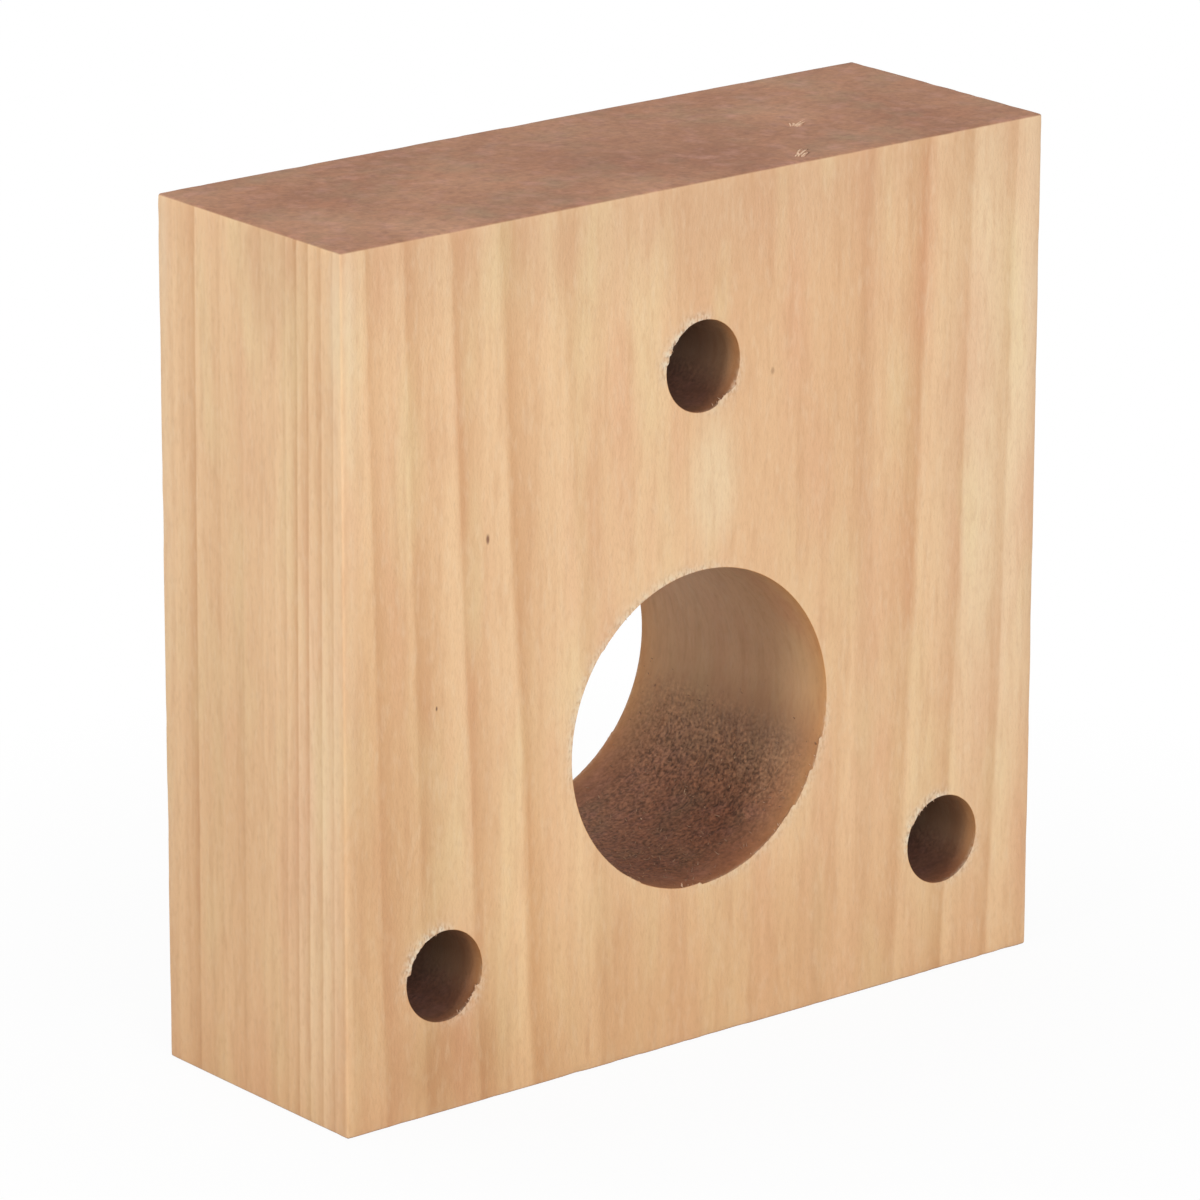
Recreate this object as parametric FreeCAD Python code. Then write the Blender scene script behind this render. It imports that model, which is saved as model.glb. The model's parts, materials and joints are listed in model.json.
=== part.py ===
# Wooden bearing block: one sawn piece of oil-soaked hardwood that carries a shaft.
#
# A plain bore takes the shaft. Bolt holes stand on a circle round it, the first
# straight above the shaft and the others below, and the wood left round those
# holes sets the outline. The grain runs upright, so the top and the base are
# end grain and the other four sides are long grain.
#
# Millimetres. The origin is on the shaft's axis, half way through the block:
# +Y runs along the shaft to the back, +Z up the grain, +X right seen from the front.
import FreeCAD, Part
import math
import os

# The shaft and the bolts
BORE_DIAMETER = 37.0
BOLT_CIRCLE_DIAMETER = 84.0
BOLT_COUNT = 3
BOLT_HOLE_DIAMETER = 10.5

# Wood left from a bolt hole's centre to the outside
SIDE_DISTANCE = 13.5
TOP_DISTANCE = 21.0
BASE_DISTANCE = 16.0

# The sawn blank
THICKNESS = 33.0
ARRIS_RADIUS = 0.3

# How far a drill runs past each face
DRILL_OVERRUN = 2.0

ALONG_SHAFT = FreeCAD.Vector(0, 1, 0)
FIRST_BOLT_ANGLE = math.radians(90)


def bolt_centres():
    """Centres (x, z) of the bolt holes, evenly round the bore from the one straight above it."""
    radius = BOLT_CIRCLE_DIAMETER / 2
    angles = [FIRST_BOLT_ANGLE + k * 2 * math.pi / BOLT_COUNT for k in range(BOLT_COUNT)]
    return [(radius * math.cos(angle), radius * math.sin(angle)) for angle in angles]


def blank(centres):
    """Sawn block with eased arrises: the front outline carried through the thickness."""
    half_width = max(abs(x) for x, z in centres) + SIDE_DISTANCE
    top = max(z for x, z in centres) + TOP_DISTANCE
    base = min(z for x, z in centres) - BASE_DISTANCE
    corners = [(-half_width, base), (half_width, base), (half_width, top), (-half_width, top)]
    points = [FreeCAD.Vector(x, -THICKNESS / 2, z) for x, z in corners]
    outline = Part.Wire(Part.makePolygon(points + points[:1]))
    block = Part.Face(outline).extrude(ALONG_SHAFT * THICKNESS)
    return block.makeFillet(ARRIS_RADIUS, block.Edges)


def drilling(x, z, diameter):
    """What a drill takes out: a round hole along the shaft's direction, right through the block."""
    start = FreeCAD.Vector(x, -THICKNESS / 2 - DRILL_OVERRUN, z)
    return Part.makeCylinder(diameter / 2, THICKNESS + 2 * DRILL_OVERRUN, start, ALONG_SHAFT)


def bearing_block():
    """The finished block: the blank, bored for the shaft and drilled for its bolts."""
    centres = bolt_centres()
    shaft_bore = drilling(0, 0, BORE_DIAMETER)
    bolt_holes = [drilling(x, z, BOLT_HOLE_DIAMETER) for x, z in centres]
    return blank(centres).cut([shaft_bore] + bolt_holes).Solids[0]


os.makedirs("parts", exist_ok=True)
bearing_block().exportStep("parts/bearing_block.step")
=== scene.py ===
import json
import math

import bmesh
import bpy
import numpy as np
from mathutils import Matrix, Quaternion, Vector


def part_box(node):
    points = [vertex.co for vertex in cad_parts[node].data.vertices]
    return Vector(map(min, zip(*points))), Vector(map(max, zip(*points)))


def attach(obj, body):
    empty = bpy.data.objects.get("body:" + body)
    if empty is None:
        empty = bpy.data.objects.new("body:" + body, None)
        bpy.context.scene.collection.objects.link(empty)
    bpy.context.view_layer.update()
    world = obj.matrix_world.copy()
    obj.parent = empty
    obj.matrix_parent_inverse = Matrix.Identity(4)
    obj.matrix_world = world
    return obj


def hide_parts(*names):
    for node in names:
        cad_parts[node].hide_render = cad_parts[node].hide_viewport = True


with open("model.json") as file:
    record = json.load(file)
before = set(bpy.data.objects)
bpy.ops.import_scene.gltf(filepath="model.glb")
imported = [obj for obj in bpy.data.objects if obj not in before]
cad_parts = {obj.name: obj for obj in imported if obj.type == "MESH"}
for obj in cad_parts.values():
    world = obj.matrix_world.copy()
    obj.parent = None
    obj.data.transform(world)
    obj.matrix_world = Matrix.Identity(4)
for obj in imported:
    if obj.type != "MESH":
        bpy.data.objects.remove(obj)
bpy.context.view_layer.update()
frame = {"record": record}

# The block's sizes in millimetres, from the frame
MM = 0.001
LOW, HIGH = (np.array(corner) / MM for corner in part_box("bearing_block"))
MOUNTS = {mount["name"]: mount["dims"] for mount in frame["record"]["mounts"]}
BORE_RADIUS = MOUNTS["shaft_bore"]["r_mm"]
BOLT_RADIUS = MOUNTS["bolt_circle"]["hole_r_mm"]
PITCH_RADIUS = MOUNTS["bolt_circle"]["pcd_mm"] / 2
# The bolt holes' angles round the bore in degrees, and the eased arris, as the part has them
BOLT_ANGLES = {"top": 90, "left": 210, "right": 330}
ARRIS = 0.3

# How finely the skin is laid out: steps, collars and rows in millimetres, then ROUND_STEPS round an arris and
# RIM_SPLIT points of a rim to each stretch of the grid
FACE_STEP = 1.0
ROUND_STEPS = 4
RIM_SPLIT = 2
BORE_COLLAR = 4.0
BOLT_COLLAR = 3.5
COLLAR_ROWS = np.array([0.0, 0.08, 0.2, 0.4, 0.7, 1.2, 2.0])
WALL_ROWS = np.array([0.0, 0.1, 0.24, 0.42, 0.7])
BORE_WALL_STEP = 0.42
BOLT_WALL_STEP = 1.6
# Points closer than this are one, and the same as a number of decimals
WELD = 1e-4
WELD_DECIMALS = 4

# Torn stretches of the rims, seen from the front: hole, angle where the tear steps off, sweep over which it
# dies away, and reach into the hole in millimetres. A negative reach is a chip broken out of the rim.
TEARS = [
    ("left", 167, -75, 0.45),
    ("left", -24, -46, 0.65),
    ("top", 170, -14, 0.35),
    ("top", 157, -13, 0.35),
    ("top", 143, -40, 0.25),
    ("top", -64, 22, 0.3),
    ("top", -46, -30, 0.28),
    ("top", -30, -12, -0.4),
    ("right", 150, -50, 0.15),
    ("bore", -15, -12, 0.4),
    ("bore", -27, -14, 0.42),
    ("bore", -41, -26, 0.36),
    ("bore", -90, -8, 0.3),
    ("bore", -118, -42, 0.12),
    ("bore", 140, -30, 0.12),
]
# How far a tear goes down the wall and out over the face, the usual share of its reach, how ragged that is,
# and how pale a millimetre of reach looks
TEAR_DEPTH = 0.4
TEAR_WIDTH = 0.6
TEAR_SHARE = 0.8
TEAR_RAGGED = 0.5
TEAR_PALENESS = 1.2

# How dark the bore's wall is, by the sine of the angle: partly browned wood and partly painted shade, most
# on the lower wall. Its sides and roof, by the same sine, get painted light at the back and painted shade in
# front, and the roof a painted shade that fades along its depth.
BORE_DARKNESS_AND_SHADE = (-1.0, -0.64, -0.34, 0.0, 0.34, 1.0), (0.66, 0.64, 0.88, 0.4, 0.26, 0.18)
BACK_LIT_SIDES = (-0.6, -0.3), (0.0, 1.0)
PAINTED_LIGHT_AT_BACK = 0.7
PAINTED_SHADE_IN_FRONT = 0.2
ROOF_PAINTED_SHADE = (0.0, 0.4), (0.0, 0.38)
ROOF_SHADE_DEPTH = 0.2
# How far a drill picks a wall's fibres up, by the same sine, and the depth from which it does so in full
PICKED = (-1.0, -0.7, -0.45, -0.2), (0.75, 1.0, 0.8, 0.0)
PICKED_DEPTH = 8.0
# Share of end grain that shows in a wall's upper half, kept low as painted light on the roof, and the share
# that its lower half lacks at a mouth, as painted light where the light reaches in
UPPER_END_PAINTED_PALER = 0.4
MOUTH_LACK_PAINTED_LIGHT = 0.3
# How far a rim's fibres fray on the face, by the cosine of the angle from the upper left; then the fringe's
# width, how much sooner it ends down the wall, its usual share and how ragged that is
UPPER_LEFT = math.radians(135)
BORE_FRAYED = (-1.0, -0.8, -0.6, 0.45, 0.75), (0.4, 0.35, 0.0, 0.0, 0.65)
BOLT_FRAYED = (-1.0, -0.5, 0.45, 0.75), (0.5, 0.0, 0.0, 1.0)
FRINGE_WIDTH = 0.85
FRINGE_STEEPNESS = 2.5
FRINGE_SHARE = 0.65
FRINGE_RAGGED = 0.9
# Finish and painted light of the bore and of a bolt hole: depth that painted light reaches into it, the
# darkness and painted shade that this takes off, depth of its tinted mouth, how far its wall is picked, and
# how its rim frays
BORE_FINISH_AND_LIGHT = 3.0, 0.85, 3.5, 1.0, BORE_FRAYED
BOLT_FINISH_AND_LIGHT = 2.0, 0.6, 2.0, 0.4, BOLT_FRAYED

# The upright arrises, rubbed pale by hands: how far that reaches, the width and share of the very edge, the
# usual share, how uneven that is, and the most there is
RUB_REACH = 2.6
RUB_EDGE = 0.8
RUB_EDGE_SHARE = 0.15
RUB_SHARE = 0.35
RUB_UNEVEN = 0.5
RUB_MOST = 0.7

# Wear in millimetres: how far a face sinks and how uneven that is, the least that an arris is knocked in, how
# much more there may be and how wide, the depth of the drill's flutes, and a picked wall's share of pits
SINK = 0.04
SINK_UNEVEN = 0.03
KNOCK = 0.03
KNOCK_UNEVEN = 0.16
KNOCK_WIDTH = 0.9
FLUTE_DEPTH = 0.015
PIT_SHARE = 0.3

# Noises of the surface: size of the bumps in millimetres, all round or along x, y and z, seed and octaves
NOISES = {
    "tears": (0.35, 51, 2),
    "fringe": (0.4, 21, 2),
    "handling": ((30, 30, 14), 61, 2),
    "waves": ((14, 14, 40), 3, 2),
    "knocks": ((2.2, 2.2, 6), 8, 3),
    "pits": (0.9, 31, 2),
    "flutes": ((0.6, 3, 9), 41, 2),
}
# Large whole numbers that scatter the values at the corners of a lattice
HASH_STEPS = np.array([73856093, 19349663, 83492791])
HASH_SEED = 2654435761
HASH_MIX = 1274126177
HASH_MASK = 0xFFFF

# Splinters lifted from the sawn top: x and y of each, and the dent that it left
SPLINTERS = [(24.8, -2.8), (16.0, -13.6)]
DENT_RADIUS = 1.2
DENT_DEPTH = 0.3

# Loose fibres, in bundles, because a single one is too fine to show: how each is divided, how early it is
# widest, a way that none of them lies, how length, width and curl vary, and the room left to the block's box
SLIVER_ROWS = 5
SLIVER_SIDES = 4
SLIVER_BULGE = 0.6
SLIVER_ASKEW = (0.3, 0.8, 0.5)
LENGTHS = 0.5, 1.5
WIDTHS = 0.7, 1.3
CURLS = -0.5, 0.5
BOX_GAP = 0.01
# At each torn rim: number, usual length and width, crowding to a tear's start, depth behind the face,
# distance inside the rim, lean along the hole, and pull across and along the grain
RIM_FIBRES = 26
RIM_FIBRE_SIZE = 0.36, 0.09
RIM_CROWDING = 1.5
RIM_DEPTHS = 0.05, 0.45
RIM_ROOTS = -0.05, 0.05
RIM_LEANS = 0.05, 0.3
RIM_ACROSS = 0.7
RIM_ALONG = 0.5
# In each splinter: number, usual length and width, spread of the roots, direction in radians, and lift
TOP_FIBRES = 14
TOP_FIBRE_SIZE = 1.9, 0.28
TOP_SPREAD = 0.3
TOP_WAYS = 0.3, 1.1
TOP_LIFTS = 0.0, 0.08
# On the bore's lower wall: number, usual length and width, angles in degrees, distance from the faces, depth
# of the roots under the wall, and lift
NAP_FIBRES = 1500
NAP_FIBRE_SIZE = 0.62, 0.17
NAP_ANGLES = -165, -10
NAP_INSET = 1.0
NAP_DEPTH = 0.3
NAP_LIFT = 0.6
# Seeds of the draws
TORN_SEED = 4
NAP_SEED = 5


# Shape

def lattice_noise(points, seed):
    """Smooth noise from -1 to 1: a hashed value at each corner of a unit lattice, blended by smoothstep."""
    cell = np.floor(points).astype(np.int64)
    inside = points - cell
    blend = inside * inside * (3 - 2 * inside)
    total = np.zeros(len(points))
    for corner in np.ndindex(2, 2, 2):
        at = cell + np.array(corner)
        mixed = np.bitwise_xor.reduce(at * HASH_STEPS, axis=1) ^ (seed * HASH_SEED)
        mixed = (mixed ^ (mixed >> 13)) * HASH_MIX
        value = ((mixed ^ (mixed >> 16)) & HASH_MASK) / (HASH_MASK / 2) - 1
        total += value * np.where(np.array(corner) == 1, blend, 1 - blend).prod(axis=1)
    return total


def rough(points, kind):
    """One of the surface's noises, from -1 to 1, each octave half as large and as strong as the last."""
    size, seed, octaves = NOISES[kind]
    layers = [lattice_noise(points / size * 2**k, seed + k) / 2**k for k in range(octaves)]
    return sum(layers) / sum(0.5**k for k in range(octaves))


def lines_between(keys, step):
    """Places from the first key to the last, every key among them, none further apart than the step."""
    keys = sorted(keys)
    counts = [math.ceil((b - a) / step - WELD) for a, b in zip(keys, keys[1:])]
    runs = [np.linspace(a, b, count, endpoint=False) for a, b, count in zip(keys, keys[1:], counts)]
    return np.concatenate(runs + [keys[-1:]])


def grid_cells(rows, columns, closed=False):
    """Corner numbers of a grid's cells, points counted row by row, each row joined end to start if closed."""
    row, column = np.meshgrid(np.arange(rows - 1), np.arange(columns - (not closed)), indexing="ij")
    after = (column + 1) % columns
    near, far = row * columns, (row + 1) * columns
    return np.stack([near + column, near + after, far + after, far + column], axis=-1).reshape(-1, 4)


def drilled_holes():
    """Each hole: its name, centre in x and z, radius, and half the side of the square that it is set in."""
    holes = [("bore", np.zeros(2), BORE_RADIUS, BORE_RADIUS + BORE_COLLAR)]
    for name, degrees in BOLT_ANGLES.items():
        angle = math.radians(degrees)
        centre = PITCH_RADIUS * np.array([math.cos(angle), math.sin(angle)])
        holes.append((name, centre, BOLT_RADIUS, BOLT_RADIUS + BOLT_COLLAR))
    return holes


HOLES = drilled_holes()


def square_edge(xs, zs, centre, half):
    """Grid points once round the square that a hole is set in, from its lower left corner."""
    x = xs[np.abs(xs - centre[0]) < half + WELD]
    z = zs[np.abs(zs - centre[1]) < half + WELD]
    base = np.stack([x, np.full_like(x, z[0])], axis=1)
    right = np.stack([np.full_like(z, x[-1]), z], axis=1)
    top = np.stack([x[::-1], np.full_like(x, z[-1])], axis=1)
    left = np.stack([np.full_like(z, x[0]), z[::-1]], axis=1)
    return np.concatenate([side[:-1] for side in (base, right, top, left)])


def rim_angles(edge, centre):
    """Angles round a hole, as its centre sees the points that split each stretch of its square evenly."""
    share = np.arange(RIM_SPLIT)[None, :, None] / RIM_SPLIT
    fine = edge[:, None] * (1 - share) + np.roll(edge, -1, axis=0)[:, None] * share
    away = fine.reshape(-1, 2) - centre
    return np.arctan2(away[:, 1], away[:, 0])


def flat_face(xs, zs, y):
    """A flat face as a grid of lines in x and z, without the cells inside the holes' squares."""
    x, z = np.meshgrid(xs, zs, indexing="ij")
    points = np.stack([x, np.full_like(x, y), z], axis=-1).reshape(-1, 3)
    cells = grid_cells(len(xs), len(zs))
    middle = points[cells].mean(axis=1)[:, [0, 2]]
    in_square = [np.abs(middle - centre).max(axis=1) < half for _, centre, _, half in HOLES]
    return points, [cells[~np.any(in_square, axis=0)]]


def collar(edge, centre, radius, y):
    """Rings of growing radius from a hole's rim outwards, then one many-sided cell for each stretch of its
    square."""
    angle = rim_angles(edge, centre)
    reach = radius + COLLAR_ROWS[:, None]
    x = centre[0] + reach * np.cos(angle)
    z = centre[1] + reach * np.sin(angle)
    rings = np.stack([x, np.full_like(x, y), z], axis=-1).reshape(-1, 3)
    square = np.stack([edge[:, 0], np.full(len(edge), y), edge[:, 1]], axis=1)
    count = len(angle)
    stretch = np.arange(len(edge))
    inner = len(rings) - count + (stretch[:, None] * RIM_SPLIT + np.arange(RIM_SPLIT, -1, -1)) % count
    outer = len(rings) + np.stack([stretch, (stretch + 1) % len(edge)], axis=1)
    cells = grid_cells(len(COLLAR_ROWS), count, closed=True)
    return np.concatenate([rings, square]), [cells, np.concatenate([outer, inner], axis=1)]


def hole_wall(edge, centre, radius, step):
    """A drilled wall: the rim's circle carried through the block, in close rows near both faces."""
    angle = rim_angles(edge, centre)
    front, back = LOW[1], HIGH[1]
    middle = lines_between([front + WALL_ROWS[-1], back - WALL_ROWS[-1]], step)[1:-1]
    depth = np.concatenate([front + WALL_ROWS, middle, back - WALL_ROWS[::-1]])
    y, turn = np.meshgrid(depth, angle, indexing="ij")
    points = np.stack([centre[0] + radius * np.cos(turn), y, centre[1] + radius * np.sin(turn)], axis=-1)
    return points.reshape(-1, 3), [grid_cells(len(depth), len(angle), closed=True)]


def outer_sides(xs, zs):
    """The four sides with all arrises: a path round the face, its normal turning at the corners, is carried
    from the front face round the front arris, along the depth and round the back arris."""
    quarter = np.linspace(0, math.pi / 2, ROUND_STEPS + 1)
    sides = [
        (np.stack([xs, np.full_like(xs, zs[0])], axis=1), -math.pi / 2),
        (np.stack([np.full_like(zs, xs[-1]), zs], axis=1), 0),
        (np.stack([xs[::-1], np.full_like(xs, zs[-1])], axis=1), math.pi / 2),
        (np.stack([np.full_like(zs, xs[0]), zs[::-1]], axis=1), math.pi),
    ]
    path = np.concatenate([np.concatenate([side] + [side[-1:]] * (ROUND_STEPS - 1)) for side, _ in sides])
    turns = [np.concatenate([np.full(len(side), at), at + quarter[1:-1]]) for side, at in sides]
    facing = np.concatenate(turns)
    normal = np.stack([np.cos(facing), np.sin(facing)], axis=1)
    along = lines_between([LOW[1] + ARRIS, HIGH[1] - ARRIS], FACE_STEP)[1:-1]
    out = ARRIS * np.concatenate([np.sin(quarter), np.ones(len(along)), np.sin(quarter[::-1])])
    front = LOW[1] + ARRIS - ARRIS * np.cos(quarter)
    back = HIGH[1] - ARRIS + ARRIS * np.cos(quarter[::-1])
    y = np.concatenate([front, along, back])
    flat = path + out[:, None, None] * normal
    points = np.stack([flat[..., 0], np.broadcast_to(y[:, None], flat.shape[:2]), flat[..., 1]], axis=-1)
    return points.reshape(-1, 3), [grid_cells(len(y), len(path), closed=True)]


def welded(patches):
    """One skin from several patches: points on the same spot become one, and a cell with two such corners
    loses one of them, or goes if it has two such pairs."""
    points = np.concatenate([patch for patch, _ in patches])
    spots = np.round(points / WELD).astype(np.int64)
    _, first, where = np.unique(spots, axis=0, return_index=True, return_inverse=True)
    starts = np.cumsum([0] + [len(patch) for patch, _ in patches])
    faces = []
    for start, (_, groups) in zip(starts, patches):
        for group in groups:
            cells = where.reshape(-1)[group + start]
            pinched = cells == np.roll(cells, -1, axis=1)
            pinches = pinched.sum(axis=1)
            once = pinches == 1
            faces += cells[pinches == 0].tolist()
            faces += cells[once][~pinched[once]].reshape(-1, cells.shape[1] - 1).tolist()
    return points[first], faces


def block_skin():
    """Points and faces of the sound block: two flat faces, the holes' collars and walls, and the sides."""
    keys = [[LOW[axis] + ARRIS, HIGH[axis] - ARRIS] for axis in (0, 2)]
    for _, centre, _, half in HOLES:
        for axis in (0, 1):
            keys[axis] += [centre[axis] - half, centre[axis] + half]
    xs, zs = (lines_between(np.unique(np.round(key, WELD_DECIMALS)), FACE_STEP) for key in keys)
    patches = [outer_sides(xs, zs)]
    patches += [flat_face(xs, zs, y) for y in (LOW[1], HIGH[1])]
    for name, centre, radius, half in HOLES:
        edge = square_edge(xs, zs, centre, half)
        patches += [collar(edge, centre, radius, y) for y in (LOW[1], HIGH[1])]
        patches.append(hole_wall(edge, centre, radius, BORE_WALL_STEP if name == "bore" else BOLT_WALL_STEP))
    return welded(patches)


def from_hole(points, centre):
    """Distance and angle of each point from a hole's axis, the angle from +x towards +z."""
    away = points[:, [0, 2]] - centre
    return np.hypot(away[:, 0], away[:, 1]), np.arctan2(away[:, 1], away[:, 0])


def tear_reach(name, angle):
    """How far a rim reaches into its hole at each angle: a tear starts at a step and dies away along its
    sweep."""
    reach = np.zeros(len(angle))
    for hole, start, sweep, most in TEARS:
        if hole == name:
            along = (np.degrees(angle) - start) * np.sign(sweep) % 360 / abs(sweep)
            reach += np.where(along < 1, most * (1 - along), 0)
    return reach


def rim_tears(points, name, centre, radius):
    """Reach of the torn rim at each point, full at the edge, fading down the wall and out over the face. The
    back rim is torn as the front one is, half a turn on."""
    distance, angle = from_hole(points, centre)
    beside = np.clip(1 - (distance - radius) / TEAR_WIDTH, 0, 1)
    ragged = TEAR_SHARE + TEAR_RAGGED * rough(points, "tears")
    total = np.zeros(len(points))
    for depth, turn in ((points[:, 1] - LOW[1], 0), (HIGH[1] - points[:, 1], math.pi)):
        total += tear_reach(name, angle + turn) * np.clip(1 - depth / TEAR_DEPTH, 0, 1)
    return total * beside * ragged


def surface_marks(points):
    """What each point of the sound block shows: its share of end grain, kept low on a drilled wall's roof and
    lower mouth as painted light, how far a drilled wall is darkened there, partly browned and partly painted
    shade, with painted light near its mouth, how near its mouth it is, how far the drill picked its fibres
    up, how torn they are at a rim, and how far an upright arris is rubbed."""
    to_face = np.minimum(points - LOW, HIGH - points)
    depth = to_face[:, 1]
    to_back = (points[:, 1] - LOW[1]) / (HIGH[1] - LOW[1])
    normal = points - np.clip(points, LOW + ARRIS, HIGH - ARRIS)
    end = np.abs(normal[:, 2]) / np.maximum(np.linalg.norm(normal, axis=1), WELD)
    bored_and_shaded, mouth, fuzzy, torn = np.zeros((4, len(points)))
    upright = np.clip(1 - to_face[:, 0] / RUB_REACH, 0, 1) * np.clip(1 - depth / RUB_REACH, 0, 1)
    beside = np.clip(np.maximum(to_face[:, 0], depth) / RUB_EDGE, RUB_EDGE_SHARE, 1)
    handled = np.clip(RUB_SHARE + RUB_UNEVEN * rough(points, "handling"), 0, RUB_MOST)
    rubbed = (1 - end) * upright * beside * handled * (points[:, 2] - LOW[2]) / (HIGH[2] - LOW[2])
    for name, centre, radius, _ in HOLES:
        large = name == "bore"
        lit_depth, lit_share, mouth_depth, picked_share, fray = BORE_FINISH_AND_LIGHT if large else BOLT_FINISH_AND_LIGHT
        distance, angle = from_hole(points, centre)
        wall = distance < radius + WELD
        rise = np.sin(angle)
        # Painted light at the back of the sides and roof, painted shade in front, and painted shade under the
        # roof
        back_light_and_front_shade = np.interp(rise, *BACK_LIT_SIDES) * (PAINTED_LIGHT_AT_BACK * to_back - PAINTED_SHADE_IN_FRONT)
        roof_shade = np.interp(rise, *ROOF_PAINTED_SHADE) * np.exp(-to_back / ROOF_SHADE_DEPTH)
        darkest_with_shade = np.interp(rise, *BORE_DARKNESS_AND_SHADE) * (1 - back_light_and_front_shade) + roof_shade if large else 1.0
        lit = np.exp(-depth / lit_depth)
        picked = picked_share * np.interp(rise, *PICKED) * np.clip(depth / PICKED_DEPTH, 0, 1)
        # End grain kept low on the roof and at the lower mouth: painted light
        end = np.where(wall, np.where(rise > 0, UPPER_END_PAINTED_PALER, 1.0 - MOUTH_LACK_PAINTED_LIGHT * lit) * np.abs(rise), end)
        # The wall's browning and painted shade, with painted light taking some off near the mouth
        bored_and_shaded = np.where(wall, darkest_with_shade * (1 - lit_share * lit), bored_and_shaded)
        mouth = np.where(wall, np.exp(-depth / mouth_depth), mouth)
        fuzzy = np.where(wall, picked, fuzzy)
        frayed = np.interp(np.cos(angle - UPPER_LEFT), *fray)
        from_rim = np.abs(distance - radius) + FRINGE_STEEPNESS * depth
        ragged = np.clip(FRINGE_SHARE + FRINGE_RAGGED * rough(points, "fringe"), 0, 1)
        fringe = frayed * ragged * np.exp(-(from_rim / FRINGE_WIDTH) ** 2)
        tears = TEAR_PALENESS * np.abs(rim_tears(points, name, centre, radius))
        torn = np.maximum(torn, np.maximum(fringe, tears))
    torn = np.clip(torn, 0, 1)
    return {"end_grain": end, "bored_and_shaded": bored_and_shaded, "mouth": mouth, "fuzzy": fuzzy, "torn": torn, "rubbed": rubbed}


def worn(points, marks):
    """The skin as sawn, drilled and handled, always inside the block's box: the faces sink in slow waves, the
    arrises are knocked down unevenly, splinters leave dents in the sawn top, the rims tear, and the drilled
    walls are fluted and picked into pits."""
    moved = points.copy()
    side = np.sign(points - (LOW + HIGH) / 2)
    to_face = np.minimum(points - LOW, HIGH - points)
    sink = SINK + SINK_UNEVEN * rough(points, "waves")
    moved -= side * np.clip(1 - to_face / ARRIS, 0, 1) * sink[:, None]

    knock = KNOCK + KNOCK_UNEVEN * np.clip(rough(points, "knocks"), 0, 1)
    near = np.clip(1 - to_face / KNOCK_WIDTH, 0, 1)
    for a, b in ((0, 1), (1, 2), (0, 2)):
        edge = (near[:, a] * near[:, b]) ** 2 * knock
        moved[:, a] -= side[:, a] * edge
        moved[:, b] -= side[:, b] * edge

    for x, y in SPLINTERS:
        away = np.hypot(points[:, 0] - x, points[:, 1] - y) / DENT_RADIUS
        moved[:, 2] -= DENT_DEPTH * np.exp(-away**4) * (points[:, 2] > HIGH[2] - ARRIS)

    for name, centre, radius, _ in HOLES:
        distance, angle = from_hole(points, centre)
        outward = np.stack([np.cos(angle), np.sin(angle)], axis=1)
        pits = NAP_DEPTH * marks["fuzzy"] * np.clip(PIT_SHARE + rough(points, "pits"), 0, 1)
        flutes = FLUTE_DEPTH * (1 - marks["end_grain"]) * rough(points, "flutes")
        cut = np.where(distance < radius + WELD, np.clip(pits + flutes, 0, 1), 0)
        moved[:, [0, 2]] += outward * (cut - rim_tears(points, name, centre, radius))[:, None]
    return np.clip(moved, LOW, HIGH)


def slivers(roots, ways, lengths, widths, curls):
    """Closed tapering slivers: a square carried along a bent path from each root, its width swelling from
    nothing and thinning to a point."""
    along = np.linspace(0, 1, SLIVER_ROWS)
    swell = np.sin(math.pi * along**SLIVER_BULGE)
    turn = np.linspace(0, 2 * math.pi, SLIVER_SIDES, endpoint=False)
    ways = ways / np.linalg.norm(ways, axis=1, keepdims=True)
    across = np.cross(ways, SLIVER_ASKEW)
    across /= np.linalg.norm(across, axis=1, keepdims=True)
    up = np.cross(ways, across)
    bend = (curls[:, None] * along**2)[..., None] * across[:, None]
    path = roots[:, None] + lengths[:, None, None] * (along[:, None] * ways[:, None] + bend)
    ring = np.cos(turn)[:, None] * across[:, None] + np.sin(turn)[:, None] * up[:, None]
    points = path[:, :, None] + (widths[:, None] * swell)[..., None, None] / 2 * ring[:, None]
    cells = grid_cells(SLIVER_ROWS, SLIVER_SIDES, closed=True)
    each = np.arange(len(roots))[:, None, None] * SLIVER_ROWS * SLIVER_SIDES
    return points.reshape(-1, 3), [(each + cells).reshape(-1, 4)]


def rim_fibres(draw, name, centre, radius, y_face, turn):
    """Roots and directions of the fibres standing in a hole's mouth where its rim is torn, with the grain."""
    spans = np.array([(start, sweep) for hole, start, sweep, most in TEARS if hole == name and most > 0])
    start, sweep = spans[draw.integers(len(spans), size=RIM_FIBRES)].T
    angle = np.radians(start + sweep * draw.random(RIM_FIBRES) ** RIM_CROWDING) + turn
    inward = np.sign(-y_face)
    depth = y_face + inward * draw.uniform(*RIM_DEPTHS, RIM_FIBRES)
    reach = radius - draw.uniform(*RIM_ROOTS, RIM_FIBRES)
    roots = np.stack([centre[0] + reach * np.cos(angle), depth, centre[1] + reach * np.sin(angle)], axis=1)
    lean = inward * draw.uniform(*RIM_LEANS, RIM_FIBRES)
    grain = -RIM_ALONG * np.sin(angle) - RIM_ALONG * np.sign(np.sin(angle))
    return roots, np.stack([-RIM_ACROSS * np.cos(angle), lean, grain], axis=1)


def top_fibres(draw, x, y):
    """Roots and directions of one splinter's fibres, lying in its dent in the sawn top."""
    around = draw.normal(0, TOP_SPREAD, (TOP_FIBRES, 2))
    roots = np.column_stack([x + around[:, 0], y + around[:, 1], np.full(TOP_FIBRES, HIGH[2] - DENT_DEPTH)])
    way = draw.uniform(*TOP_WAYS, TOP_FIBRES)
    return roots, np.column_stack([np.cos(way), np.sin(way), draw.uniform(*TOP_LIFTS, TOP_FIBRES)])


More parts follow.
